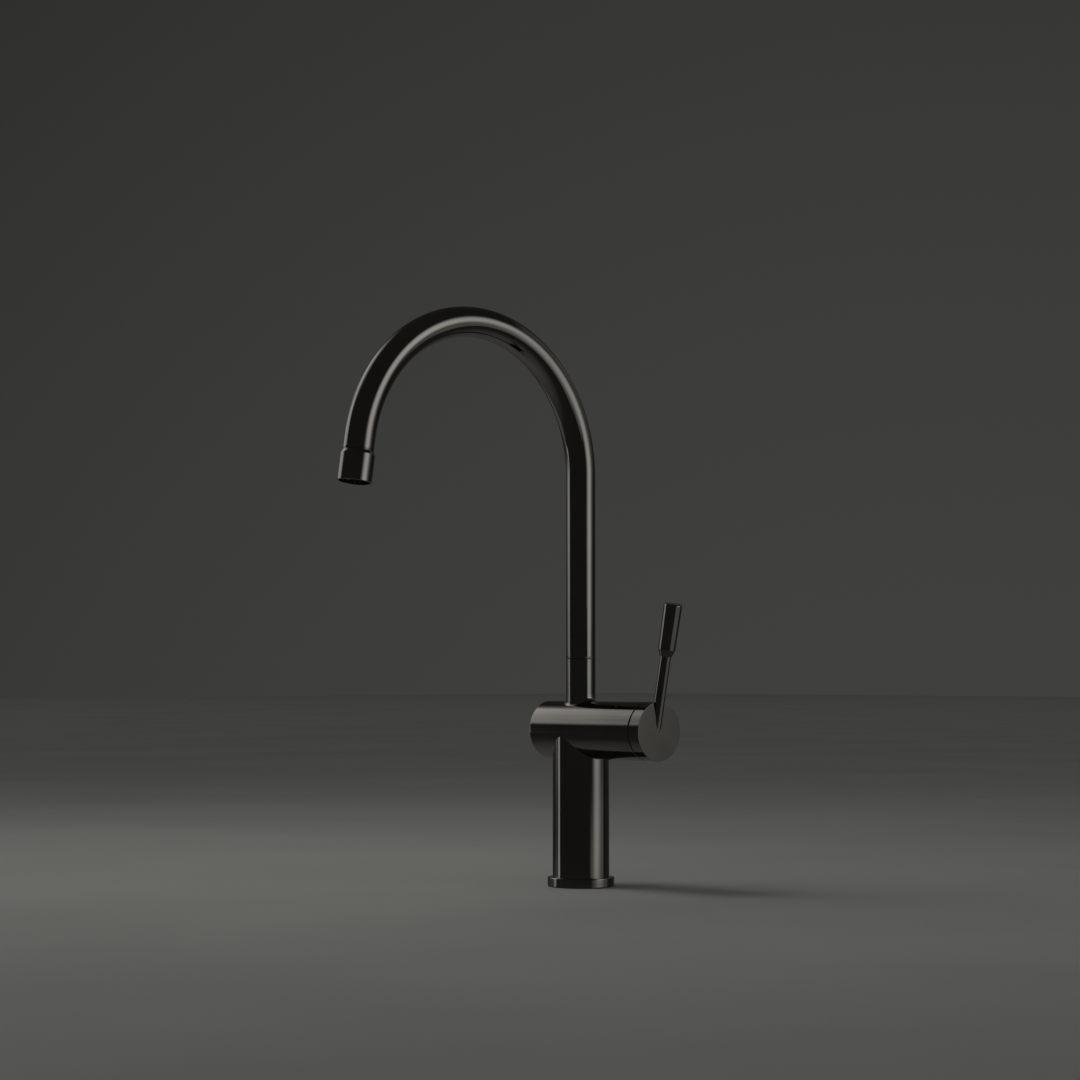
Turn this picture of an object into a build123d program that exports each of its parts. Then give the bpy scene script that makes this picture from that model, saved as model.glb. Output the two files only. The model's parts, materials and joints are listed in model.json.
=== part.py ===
from build123d import *
import math
import os

os.makedirs("parts", exist_ok=True)

# Gooseneck kitchen mixer tap, in millimetres, standing on its deck at z = 0.
# The column stands on +Z, the valve barrel lies along X with the lever at its +X end,
# and the spout reaches forwards, towards -Y.

# Clearances and small details
FIT = 0.02          # between parts pressed, screwed or soldered together
RUN = 0.05          # between parts that turn or slide on each other
AIR = 0.3           # between parts that pass each other without touching
EDGE = 0.5          # broken outer edges

# Column, foot and base flange
COLUMN_D = 42.0
COLUMN_WALL = 1.5
FLANGE_RIM = 3.75       # how far the flange stands out from the column
FLANGE_H = 7.0
FLANGE_EDGE = 0.8
FLANGE_LIFT = 0.3       # the flange rides this far over the deck, on its gasket
GASKET_H = 2.0
GASKET_ROOM = 0.95      # from the column to the gasket
FOOT_H = 20.0
STUD_THREAD_D = 6.8     # tapping size of M8
STUD_DEPTH = 16.0
INLET_THREAD_D = 9.0    # tapping size of M10 x 1
INLET_DEPTH = 12.0
INLET_OFFSET = 10.0     # of each inlet and supply tube from the column's axis
SUPPLY_D = 8.0
SUPPLY_BORE_D = 6.0
SUPPLY_SEAT = 6.0       # how far a supply tube enters the foot
SEAL_H = 1.2
SEAL_W = 1.0

# Valve barrel and the neck on top of it
BARREL_Z = 115.5
CARTRIDGE_D = 35.0      # a standard size, which the barrel is made to hold
CARTRIDGE_ROOM = 1.25   # between the cartridge and the barrel's bore
BARREL_WALL = 2.75
BARREL_FRONT = 71.0     # from the column's axis to the seam at the cap
BARREL_REAR = 33.2
PLUG_T = 3.0
NECK_TOP = 168.0
NECK_FILLET = 3.0
PIPE_HOLE_D = 31.0      # hole in the underside of the barrel for the supply tubes

# Valve core
CORE_REAR = 14.0        # from the column's axis
SEAT_X = 34.0           # the face on which the cartridge stands
SOCKET_FOOT = 11.5      # height of the swivel socket's foot over the barrel's axis
MIXED_BORE_D = 10.0
PORT_D = 5.6            # water ports in the seat, the cartridge base and the fixed disc
PORT_U = 7.0            # hot and cold ports: sideways from the barrel's axis
PORT_V = 5.5            # hot and cold ports: above the barrel's axis
OUT_V = 6.0             # mixed water port: below the barrel's axis
PEG_D = 3.0
PEG_RING = 14.4         # both pegs, from the barrel's axis
PEG_TURN = 33.7         # and below the horizontal, in degrees
PEG_L = 3.0

# Spout
TUBE_D = 22.0
TUBE_WALL = 1.5
ARC_R = 106.5
ARC_Z = 304.0           # height of the arc's centre
ARC_SWEEP = 171.3
SPOUT_TAIL = 9.2        # straight tube after the arc
SOCKET_WALL = 1.2
WASHER_T = 0.3
WASHER_W = 2.2
STEM_PLUG_L = 16.0
STEM_ROOM = 0.4         # between the stem and its socket, away from the rings
STEM_WALL = 1.5         # under the grooves
STEM_GROOVE = 1.4       # depth of the grooves
SLIDE_RING_H = 3.0
O_RING_W = 1.9
SCREW_D = 4.0
SCREW_NOSE_D = 2.8
SCREW_BELOW_SEAM = 18.0
LOCK_GROOVE_H = 4.0
KEY_D = 2.0             # hexagon sockets in both grub screws, across the flats
KEY_DEPTH = 1.8

# Nozzle and aerator, measured along the flow from the end of the spout tube
AERATOR_D = 20.0        # a standard size, which the nozzle is made to hold
NOZZLE_WALL = 2.25
NOZZLE_L = 21.8
NOZZLE_SHOULDER = 2.4
NOZZLE_SEAM = 0.2
ADAPTER_PLUG_L = 8.0
ADAPTER_L = 8.0
ADAPTER_WALL = 1.6      # from the spout tube's bore to the adapter's
AERATOR_L = 7.5
AERATOR_WASHER_T = 2.0
AERATOR_CUP = 4.0
AERATOR_WALL = 2.1      # round the cup
AERATOR_HOLE_D = 1.7
AERATOR_PITCH = 2.4
SCREEN_RIM = 1.4        # from the aerator's outside to the screen
SCREEN_T = 0.6
SCREEN_HOLE_D = 1.2
SCREEN_PITCH = 2.0
LEDGE_T = 1.2
LEDGE_W = 0.8
OUTLET_WALL = 1.3

# Cartridge, along the barrel's axis from the seat
BASE_T = 4.5
PORT_SEAL_W = 1.5
PORT_SEAL_H = 1.6
DISC_T = 4.0
FIXED_DISC_D = 26.4
MOVING_DISC_D = 22.0
MOVING_DISC_T = 4.4
MIX_DEPTH = 2.0
MIX_W = 19.0
MIX_LOW = 8.5
MIX_HIGH = 2.2
CARRIER_T = 3.0
BOSS_W = 10.6
ROTOR_D = 24.0
ROTOR_PAST_PIN = 1.2    # wall of the stem carrier beyond the pin hole
BOSS_PAST_BALL = 2.4    # the carrier's boss beyond the ball's centre
BOSS_AIR = 1.1          # between the boss and the end of its pocket
DISC_AIR = 1.4          # round the moving disc at the end of its travel
HOUSING_LIP = 2.0
LIP_BORE_D = 20.0
HOUSING_WALL = 2.4
SHOULDER_X = 58.0       # where the nut bears on the housing
NUT_L = 10.0
NUT_NOTCH_W = 4.0
NUT_NOTCH_DEPTH = 2.5
NUT_NOTCHES = 4
COVER_T = 2.6
COVER_BORE_D = 28.4
COVER_SUNK = 0.1
NUT_BORE_BACK = 0.4     # the nut's bore stands this far back from the cover's

# Lever
PIVOT_BACK = 11.0       # from the seam back to the stem pin
TILT = 18.0             # full flow, in degrees
BALL_ARM = 8.0          # from the stem pin to the stem's ball
BALL_D = 6.9
STEM_D = 7.0
STEM_FLAT_W = 6.4       # across the two flats where the stem runs in its slot
STEM_NECK_D = 4.6
STEM_SLOT_H = 13.0
PIN_D = 4.0
PIN_L = 21.0
CAP_GAP = 0.8
CAP_L = 9.5
TILT_AIR = 0.5          # between the cap and the barrel at full tilt
HUB_D = 14.0
HUB_BACK = 5.0          # how far the hub reaches back behind the seam
SOCKET_IN_CAP = 0.5     # how far the stem goes on past the cap's inner face
ROD_D = 8.0
ROD_LEAN = 11.5
ROD_FOOT = 0.9
ROD_TOP = 86.0
GRIP_FROM = 55.5
GRIP_CONE = 5.0
GRIP_TOP = 93.8
GRIP_D_LOW = 12.5
GRIP_D_TOP = 13.5
GRIP_EDGE = 1.0
GRIP_BORE_END = 87.0

# Radii and places worked out from the sizes above
COLUMN_R = COLUMN_D / 2
COLUMN_BORE_R = COLUMN_R - COLUMN_WALL
FLANGE_R = COLUMN_R + FLANGE_RIM
GASKET_R = FLANGE_R - FLANGE_EDGE
GASKET_BORE_R = COLUMN_R + GASKET_ROOM
BARREL_BORE_R = CARTRIDGE_D / 2 + CARTRIDGE_ROOM
BARREL_R = BARREL_BORE_R + BARREL_WALL
TUBE_R = TUBE_D / 2
TUBE_BORE_R = TUBE_R - TUBE_WALL
SOCKET_R = TUBE_BORE_R - SOCKET_WALL
STEM_LAND_R = SOCKET_R - STEM_ROOM
SOCKET_Z = BARREL_Z + SOCKET_FOOT
INLET_Z = BARREL_Z + PORT_V
OUT_Z = BARREL_Z - OUT_V
SUPPLY_TOP = INLET_Z - SUPPLY_D
SPOUT_Z = NECK_TOP + WASHER_T
LOCK_Z = NECK_TOP - SCREW_BELOW_SEAM
STEM_Z = SOCKET_Z + AIR
GROOVE_R = STEM_LAND_R - STEM_GROOVE
AERATOR_R = AERATOR_D / 2
CUP_R = AERATOR_R - AERATOR_WALL
SCREEN_R = AERATOR_R - SCREEN_RIM
NOZZLE_R = AERATOR_R + NOZZLE_WALL
AERATOR_START = ADAPTER_L + AERATOR_WASHER_T
AERATOR_END = AERATOR_START + AERATOR_L
PIVOT_X = BARREL_FRONT - PIVOT_BACK
BALL_X = PIVOT_X - BALL_ARM
FIXED_DISC_X = SEAT_X + BASE_T
MOVING_DISC_X = FIXED_DISC_X + DISC_T + FIT
CARRIER_X = MOVING_DISC_X + MOVING_DISC_T
BOSS_X = CARRIER_X + CARRIER_T
ROTOR_X = BOSS_X + AIR
BOSS_END = BALL_X + BOSS_PAST_BALL
POCKET_END = BOSS_END + BOSS_AIR
DISC_TRAVEL = BALL_ARM * math.sin(math.radians(TILT))
ROTOR_END = PIVOT_X + PIN_D / 2 + ROTOR_PAST_PIN
LIP_X = ROTOR_END + AIR
HOUSING_END = LIP_X + HOUSING_LIP
NUT_BORE_R = COVER_BORE_D / 2 + NUT_BORE_BACK
CAP_X = BARREL_FRONT + CAP_GAP
CAP_END = CAP_X + CAP_L
CAP_SPHERE_R = math.hypot(PIVOT_BACK + CAP_GAP, BARREL_R)
HUB_X = BARREL_FRONT - HUB_BACK
STEM_END = CAP_X + SOCKET_IN_CAP
HUB_SCREW_X = (HUB_X + CAP_X) / 2 - AIR

# Working frames
BARREL = Plane(origin=(0, 0, BARREL_Z), x_dir=(0, 1, 0), z_dir=(1, 0, 0))
SWEEP = math.radians(ARC_SWEEP)
FLOW = (0, -math.sin(SWEEP), math.cos(SWEEP))
ARC_END = (0, ARC_R * (math.cos(SWEEP) - 1), ARC_Z + ARC_R * math.sin(SWEEP))
NOZZLE = Plane(
    origin=tuple(p + SPOUT_TAIL * d for p, d in zip(ARC_END, FLOW)),
    x_dir=(1, 0, 0),
    z_dir=FLOW,
)
LEAN = math.radians(ROD_LEAN)
ROD_SINK = ROD_D / 2 / math.cos(LEAN)
ROD = Plane(
    origin=(CAP_END - ROD_SINK, 0, BARREL_Z),
    x_dir=(0, 1, 0),
    z_dir=(math.sin(LEAN), 0, math.cos(LEAN)),
)
FULL_TILT = Plane(
    origin=(PIVOT_X, 0, BARREL_Z),
    x_dir=(0, 1, 0),
    z_dir=(math.cos(math.radians(TILT)), 0, math.sin(math.radians(TILT))),
)
FROM_START = (Align.CENTER, Align.CENTER, Align.MIN)


def round_bar(frame, radius, start, end, u=0.0, v=0.0):
    """A cylinder along a frame's own axis, from start to end."""
    return frame * Pos(u, v, start) * Cylinder(radius, end - start, align=FROM_START)


def post(radius, bottom, top, x=0.0, y=0.0):
    """An upright cylinder."""
    return round_bar(Plane.XY, radius, bottom, top, x, y)


def along(radius, start, end, u=0.0, v=0.0):
    """A cylinder along the barrel: u is sideways (+Y), v is up."""
    return round_bar(BARREL, radius, start, end, u, v)


def save(name, shape):
    """Write one node."""
    export_step(shape, f"parts/{name}.step")


def circle_edges(shape, radius, axis, place):
    """The circular edges of one radius at one place along an axis."""
    edges = shape.edges().filter_by(GeomType.CIRCLE)
    edges = [e for e in edges if abs(e.radius - radius) < 1e-4]
    return [e for e in edges if abs(getattr(e.arc_center, axis) - place) < 1e-4]


# Foot of the column
def deck_gasket():
    return post(GASKET_R, 0, GASKET_H) - post(GASKET_BORE_R, 0, GASKET_H)


def base_flange():
    ring = post(FLANGE_R, FLANGE_LIFT, FLANGE_H)
    ring = fillet(circle_edges(ring, FLANGE_R, "Z", FLANGE_H), FLANGE_EDGE)
    ring -= post(COLUMN_R + FIT, 0, FLANGE_H)
    groove = post(GASKET_R + FIT, 0, GASKET_H) - post(GASKET_BORE_R - FIT, 0, GASKET_H)
    return ring - groove


def foot_insert():
    foot = post(COLUMN_BORE_R - FIT, 0, FOOT_H)
    foot -= post(STUD_THREAD_D / 2, 0, STUD_DEPTH)
    for y in (-INLET_OFFSET, INLET_OFFSET):
        foot -= post(INLET_THREAD_D / 2, 0, INLET_DEPTH, y=y)
        foot -= post(SUPPLY_BORE_D / 2, 0, FOOT_H, y=y)
        foot -= post(SUPPLY_D / 2 + FIT, FOOT_H - SUPPLY_SEAT, FOOT_H, y=y)
    return foot


def column_shell():
    shell = post(COLUMN_R, FLANGE_LIFT, BARREL_Z)
    shell -= post(COLUMN_BORE_R, FLANGE_LIFT, BARREL_Z)
    return shell - along(BARREL_R + FIT, -BARREL_REAR, BARREL_FRONT)


def supply_tube(y):
    start = FOOT_H - SUPPLY_SEAT
    tube = post(SUPPLY_D / 2, start, SUPPLY_TOP, y=y)
    return tube - post(SUPPLY_BORE_D / 2, start, SUPPLY_TOP, y=y)


def supply_seals():
    """Two rings that lie on the foot, round the supply tubes."""
    rings = []
    for y in (-INLET_OFFSET, INLET_OFFSET):
        ring = post(SUPPLY_D / 2 + SEAL_W, FOOT_H, FOOT_H + SEAL_H, y=y)
        rings.append(ring - post(SUPPLY_D / 2 + FIT, FOOT_H, FOOT_H + SEAL_H, y=y))
    return Compound(rings)


# Barrel, core and neck
def lock_screw_hole(radius):
    """The cross hole at the back of the neck for the grub screw."""
    back = Plane(origin=(0, 0, LOCK_Z), x_dir=(1, 0, 0), z_dir=(0, 1, 0))
    return round_bar(back, radius, GROOVE_R, TUBE_D)


def valve_barrel():
    barrel = along(BARREL_R, -BARREL_REAR, BARREL_FRONT)
    ends = circle_edges(barrel, BARREL_R, "X", BARREL_FRONT)
    ends += circle_edges(barrel, BARREL_R, "X", -BARREL_REAR)
    barrel = chamfer(ends, EDGE)
    barrel += post(TUBE_R, BARREL_Z, NECK_TOP)
    saddle = [e for e in barrel.edges() if e.geom_type not in (GeomType.LINE, GeomType.CIRCLE)]
    barrel = fillet(saddle, NECK_FILLET)
    barrel -= along(BARREL_BORE_R, -BARREL_REAR, BARREL_FRONT)
    barrel -= post(TUBE_BORE_R, BARREL_Z, NECK_TOP)
    barrel -= post(PIPE_HOLE_D / 2, BARREL_Z - BARREL_R, BARREL_Z)
    return barrel - lock_screw_hole(SCREW_D / 2 + FIT)


def barrel_end_plug():
    plug = along(BARREL_BORE_R - FIT, -BARREL_REAR, PLUG_T - BARREL_REAR)
    rim = circle_edges(plug, BARREL_BORE_R - FIT, "X", -BARREL_REAR)
    return chamfer(rim, EDGE / 2)


def seat_ports(start, end, radius=PORT_D / 2):
    """The two inlet ports and the outlet port of the cartridge, as bars."""
    bars = along(radius, start, end, v=-OUT_V)
    for side in (-1, 1):
        bars += along(radius, start, end, u=side * PORT_U, v=PORT_V)
    return bars


def pegs(radius, start, end):
    turn = math.radians(PEG_TURN)
    u, v = PEG_RING * math.cos(turn), -PEG_RING * math.sin(turn)
    return [along(radius, start, end, u=side * u, v=v) for side in (-1, 1)]


def valve_core():
    core = along(BARREL_BORE_R - FIT, -CORE_REAR, SEAT_X)
    core -= post(TUBE_BORE_R, SOCKET_Z, BARREL_Z + BARREL_R)
    core -= post(MIXED_BORE_D / 2, OUT_Z, SOCKET_Z)
    core -= seat_ports(SEAT_X - PORT_D, SEAT_X)
    core -= along(PORT_D / 2, 0, SEAT_X, v=-OUT_V)
    for side in (-1, 1):
        y = side * INLET_OFFSET
        core -= post(SUPPLY_BORE_D / 2, BARREL_Z - BARREL_R, INLET_Z, y=y)
        core -= along(SUPPLY_BORE_D / 2, 0, SEAT_X - PORT_D / 2, u=y, v=PORT_V)
        core -= post(SUPPLY_D / 2 + FIT, BARREL_Z - BARREL_R, SUPPLY_TOP, y=y)
    for peg in pegs(PEG_D / 2 + FIT, SEAT_X - PEG_L, SEAT_X):
        core -= peg
    return core


def swivel_socket():
    socket = post(TUBE_BORE_R - FIT, SOCKET_Z, NECK_TOP)
    socket -= post(SOCKET_R, SOCKET_Z, NECK_TOP)
    return socket - lock_screw_hole(SCREW_D / 2 + FIT)


def swivel_washer():
    outer = TUBE_R - FIT
    top = SPOUT_Z - FIT
    return post(outer, NECK_TOP, top) - post(outer - WASHER_W, NECK_TOP, top)


def key_socket(frame, start, end):
    """A hexagon socket for an Allen key."""
    return frame * Pos(0, 0, start) * extrude(RegularPolygon(KEY_D / math.sqrt(3), 6), end - start)


def spout_grub_screw():
    back = Plane(origin=(0, 0, LOCK_Z), x_dir=(1, 0, 0), z_dir=(0, 1, 0))
    shank_start = STEM_LAND_R + AIR
    end = TUBE_R - EDGE
    screw = round_bar(back, SCREW_D / 2, shank_start, end)
    screw += round_bar(back, SCREW_NOSE_D / 2, GROOVE_R + AIR, shank_start)
    return screw - key_socket(back, end - KEY_DEPTH, end)


# Spout
def spout_tube():
    straight = Line((0, 0, SPOUT_Z), (0, 0, ARC_Z))
    bend = CenterArc((0, 0), ARC_R, 0, ARC_SWEEP)
    bend = Plane(origin=(0, -ARC_R, ARC_Z), x_dir=(0, 1, 0), z_dir=(1, 0, 0)) * bend
    tail = Line(ARC_END, tuple(NOZZLE.origin))
    section = Plane(origin=(0, 0, SPOUT_Z)) * (Circle(TUBE_R) - Circle(TUBE_BORE_R))
    return sweep(section, path=Wire([straight, bend, tail]))


def stem_grooves():
    """The bottoms and tops of the stem's grooves: two slide rings and two O-rings."""
    low = STEM_Z + SLIDE_RING_H
    high = NECK_TOP - 2 * SLIDE_RING_H
    slide = [(low, low + SLIDE_RING_H), (high, high + SLIDE_RING_H)]
    first = low + 2 * SLIDE_RING_H
    second = first + 2 * O_RING_W
    o_rings = [(z, z + O_RING_W + 2 * FIT) for z in (first, second)]
    return slide, o_rings


def swivel_stem():
    stem = post(STEM_LAND_R, STEM_Z, SPOUT_Z)
    stem += post(TUBE_BORE_R - FIT, SPOUT_Z, SPOUT_Z + STEM_PLUG_L)
    stem -= post(GROOVE_R - STEM_WALL, STEM_Z, SPOUT_Z + STEM_PLUG_L)
    slide, o_rings = stem_grooves()
    lock = (LOCK_Z - LOCK_GROOVE_H / 2, LOCK_Z + LOCK_GROOVE_H / 2)
    for bottom, top in slide + o_rings + [lock]:
        stem -= post(TUBE_R, bottom, top) - post(GROOVE_R, bottom, top)
    return stem


def slide_rings():
    rings = []
    for bottom, top in stem_grooves()[0]:
        ring = post(SOCKET_R - RUN, bottom + FIT, top - FIT)
        rings.append(ring - post(GROOVE_R + FIT, bottom + FIT, top - FIT))
    return Compound(rings)


def stem_o_rings():
    inner = GROOVE_R + FIT
    outer = SOCKET_R - RUN
    rings = []
    for bottom, top in stem_grooves()[1]:
        middle = Pos(0, 0, (bottom + top) / 2)
        rings.append(middle * Torus((inner + outer) / 2, (outer - inner) / 2))
    return Compound(rings)


# Nozzle
def flow_bar(radius, start, end, u=0.0, v=0.0):
    return round_bar(NOZZLE, radius, start, end, u, v)


def nozzle_adapter():
    adapter = flow_bar(TUBE_BORE_R - FIT, -ADAPTER_PLUG_L, 0)
    adapter += flow_bar(AERATOR_R, 0, ADAPTER_L)
    return adapter - flow_bar(TUBE_BORE_R - ADAPTER_WALL, -ADAPTER_PLUG_L, ADAPTER_L)


def nozzle_housing():
    shell = flow_bar(NOZZLE_R, NOZZLE_SHOULDER, NOZZLE_L)
    cone_l = NOZZLE_SHOULDER - NOZZLE_SEAM
    cone = Cone(TUBE_R + NOZZLE_SEAM, NOZZLE_R, cone_l, align=FROM_START)
    shell += NOZZLE * Pos(0, 0, NOZZLE_SEAM) * cone
    mouth = NOZZLE.origin + NOZZLE.z_dir * NOZZLE_L
    shell = chamfer(circle_edges(shell, NOZZLE_R, "Z", mouth.Z), EDGE / 2)
    bore_r = AERATOR_R + FIT
    ledge_end = AERATOR_END + LEDGE_T
    shell -= flow_bar(bore_r, NOZZLE_SEAM, AERATOR_END)
    shell -= flow_bar(bore_r - LEDGE_W, AERATOR_END, ledge_end)
    return shell - flow_bar(NOZZLE_R - OUTLET_WALL, ledge_end, NOZZLE_L)


def aerator_washer():
    washer = flow_bar(AERATOR_R - FIT, ADAPTER_L, AERATOR_START)
    return washer - flow_bar(CUP_R, ADAPTER_L, AERATOR_START)


def holes_in_rings(radius, pitch, reach, start, end):
    """Round holes in rings of 6, 12, 18 ... about a centre hole, as one shape."""
    holes = [flow_bar(radius, start, end)]
    for ring in range(1, int(reach / pitch) + 1):
        for k in range(6 * ring):
            turn = 2 * math.pi * k / (6 * ring)
            u = ring * pitch * math.cos(turn)
            v = ring * pitch * math.sin(turn)
            holes.append(flow_bar(radius, start, end, u, v))
    return holes


def aerator_insert():
    body = flow_bar(AERATOR_R - FIT, AERATOR_START, AERATOR_END)
    body -= flow_bar(SCREEN_R, AERATOR_START, AERATOR_START + 2 * SCREEN_T)
    cup_end = AERATOR_START + AERATOR_CUP
    body -= flow_bar(CUP_R, AERATOR_START, cup_end)
    reach = CUP_R - AERATOR_HOLE_D / 2
    return body - holes_in_rings(AERATOR_HOLE_D / 2, AERATOR_PITCH, reach, cup_end, AERATOR_END)


def aerator_screen():
    start = AERATOR_START + SCREEN_T
    disc = flow_bar(SCREEN_R - FIT, start, start + SCREEN_T)
    reach = CUP_R - SCREEN_HOLE_D / 2
    return disc - holes_in_rings(SCREEN_HOLE_D / 2, SCREEN_PITCH, reach, start, start + SCREEN_T)


# Cartridge, fixed parts
def port_seals():
    rings = []
    outer = PORT_D / 2 + PORT_SEAL_W
    for u, v in ((-PORT_U, PORT_V), (PORT_U, PORT_V), (0, -OUT_V)):
        ring = along(outer, SEAT_X, SEAT_X + PORT_SEAL_H, u, v)
        rings.append(ring - along(PORT_D / 2, SEAT_X, SEAT_X + PORT_SEAL_H, u, v))
    return Compound(rings)


def cartridge_base():
    base = along(CARTRIDGE_D / 2, SEAT_X, FIXED_DISC_X)
    base -= seat_ports(SEAT_X, FIXED_DISC_X)
    base -= seat_ports(SEAT_X, SEAT_X + PORT_SEAL_H, PORT_D / 2 + PORT_SEAL_W + FIT)
    for peg in pegs(PEG_D / 2, SEAT_X - PEG_L + AIR, SEAT_X):
        base += peg
    return base


def fixed_ceramic_disc():
    disc = along(FIXED_DISC_D / 2, FIXED_DISC_X, FIXED_DISC_X + DISC_T)
    return disc - seat_ports(FIXED_DISC_X, FIXED_DISC_X + DISC_T)


def cartridge_housing():
    rotor_bore = ROTOR_D / 2 + RUN
    housing = along(CARTRIDGE_D / 2, FIXED_DISC_X, SHOULDER_X)
    housing += along(rotor_bore + HOUSING_WALL, SHOULDER_X, HOUSING_END)
    disc_bore = MOVING_DISC_D / 2 + DISC_TRAVEL + DISC_AIR
    housing -= along(disc_bore, FIXED_DISC_X, BOSS_X + AIR / 2)
    housing -= along(rotor_bore, FIXED_DISC_X, LIP_X)
    return housing - along(LIP_BORE_D / 2, LIP_X, HOUSING_END)


def retaining_nut():
    end = SHOULDER_X + NUT_L
    nut = along(BARREL_BORE_R - FIT, SHOULDER_X, end)
    nut -= along(NUT_BORE_R, SHOULDER_X, end)
    bar = Box(2 * BARREL_BORE_R, NUT_NOTCH_W, NUT_NOTCH_DEPTH)
    for k in range(NUT_NOTCHES // 2):
        turn = Rot(0, 0, 360 * k / NUT_NOTCHES)
        nut -= BARREL * Pos(0, 0, end - NUT_NOTCH_DEPTH / 2) * turn * bar
    return nut


def cover_ring():
    end = BARREL_FRONT - COVER_SUNK
    ring = along(BARREL_BORE_R - FIT, end - COVER_T, end)
    return ring - along(COVER_BORE_D / 2, end - COVER_T, end)


# Cartridge, moving parts
def moving_ceramic_disc():
    disc = along(MOVING_DISC_D / 2, MOVING_DISC_X, CARRIER_X)
    pocket = along(MIX_W / 2, MOVING_DISC_X, MOVING_DISC_X + MIX_DEPTH)
    low = Box(2 * MIX_W, MIX_LOW + MIX_HIGH, 2 * MIX_DEPTH)
    window = BARREL * Pos(0, (MIX_HIGH - MIX_LOW) / 2, MOVING_DISC_X) * low
    return disc - (pocket & window)


def disc_carrier():
    carrier = along(MOVING_DISC_D / 2, CARRIER_X, BOSS_X)
    boss = Box(BOSS_W, BOSS_W, BOSS_END - BOSS_X, align=FROM_START)
    carrier += BARREL * Pos(0, 0, BOSS_X) * boss
    return carrier - along(BALL_D / 2 + RUN, BALL_X - BALL_D / 2 - RUN, BOSS_END)


def stem_carrier():
    rotor = along(ROTOR_D / 2, ROTOR_X, ROTOR_END)
    low = BOSS_W / 2 + AIR / 2
    high = low + DISC_TRAVEL
    pocket = Box(2 * low, low + high, POCKET_END - ROTOR_X, align=FROM_START)
    rotor -= BARREL * Pos(0, (high - low) / 2, ROTOR_X) * pocket
    slot = Box(STEM_FLAT_W + 2 * RUN, STEM_SLOT_H, ROTOR_END - ROTOR_X, align=FROM_START)
    rotor -= BARREL * Pos(0, 0, ROTOR_X) * slot
    return rotor - pin_bar(PIN_D / 2, ROTOR_D)


def pin_bar(radius, length):
    """A bar across the barrel, through the stem's pivot."""
    across = Plane(origin=(PIVOT_X, 0, BARREL_Z), x_dir=(1, 0, 0), z_dir=(0, 1, 0))
    return round_bar(across, radius, -length / 2, length / 2)


def stem_pin():
    return pin_bar(PIN_D / 2 - FIT, PIN_L)


# Lever
def cartridge_stem():
    neck_end = BALL_X + BALL_D / 2
    stem = along(STEM_D / 2, neck_end, STEM_END)
    flats_end = (ROTOR_END + HUB_X) / 2
    flats = Box(STEM_FLAT_W, 2 * STEM_D, flats_end - neck_end, align=FROM_START)
    stem -= along(STEM_D, neck_end, flats_end) - BARREL * Pos(0, 0, neck_end) * flats
    stem += along(STEM_NECK_D / 2, BALL_X, neck_end)
    stem += BARREL * Pos(0, 0, BALL_X) * Sphere(BALL_D / 2)
    flat = Plane(origin=(HUB_SCREW_X, 0, BARREL_Z), x_dir=(1, 0, 0), z_dir=(0, 0, 1))
    dimple = round_bar(flat, SCREW_NOSE_D / 2 + FIT, STEM_D / 2 - EDGE, STEM_D)
    return stem - pin_bar(PIN_D / 2 + RUN, 2 * STEM_D) - dimple


def lever_cap():
    cap = along(BARREL_R, CAP_X, CAP_END)
    cap = chamfer(circle_edges(cap, BARREL_R, "X", CAP_END), EDGE / 2)
    reach = PIVOT_BACK + TILT_AIR
    far = 4 * BARREL_R
    swept = Cylinder(far, reach + far, align=(Align.CENTER, Align.CENTER, Align.MAX))
    swept = FULL_TILT * Pos(0, 0, reach) * swept
    ball = Pos(PIVOT_X, 0, BARREL_Z) * Sphere(CAP_SPHERE_R)
    cap -= ball & swept
    cap += along(HUB_D / 2, HUB_X, CAP_X + CAP_L / 2)
    cap -= along(STEM_D / 2 + FIT, HUB_X, STEM_END)
    up = Plane(origin=(HUB_SCREW_X, 0, BARREL_Z), x_dir=(1, 0, 0), z_dir=(0, 0, 1))
    cap -= round_bar(up, SCREW_D / 2 + FIT, 0, HUB_D)
    return cap - round_bar(ROD, ROD_D / 2 + FIT, ROD_FOOT - FIT, ROD_TOP)


def lever_grub_screw():
    up = Plane(origin=(HUB_SCREW_X, 0, BARREL_Z), x_dir=(1, 0, 0), z_dir=(0, 0, 1))
    end = HUB_D / 2 - EDGE / 2
    shank_start = STEM_D / 2 + FIT
    screw = round_bar(up, SCREW_D / 2, shank_start, end)
    screw += round_bar(up, SCREW_NOSE_D / 2, shank_start - EDGE, shank_start)
    return screw - key_socket(up, end - KEY_DEPTH, end)


def lever_rod():
    return round_bar(ROD, ROD_D / 2, ROD_FOOT, ROD_TOP)


def lever_grip():
    cone_end = GRIP_FROM + GRIP_CONE
    cone = Cone(ROD_D / 2 + EDGE, GRIP_D_LOW / 2, GRIP_CONE, align=FROM_START)
    sleeve = Cone(GRIP_D_LOW / 2, GRIP_D_TOP / 2, GRIP_TOP - cone_end, align=FROM_START)
    top = [e for e in sleeve.edges().filter_by(GeomType.CIRCLE) if e.arc_center.Z > GRIP_CONE]
    sleeve = fillet(top, GRIP_EDGE)
    grip = ROD * Pos(0, 0, GRIP_FROM) * cone + ROD * Pos(0, 0, cone_end) * sleeve
    return grip - round_bar(ROD, ROD_D / 2 + FIT, GRIP_FROM, GRIP_BORE_END)


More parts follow.
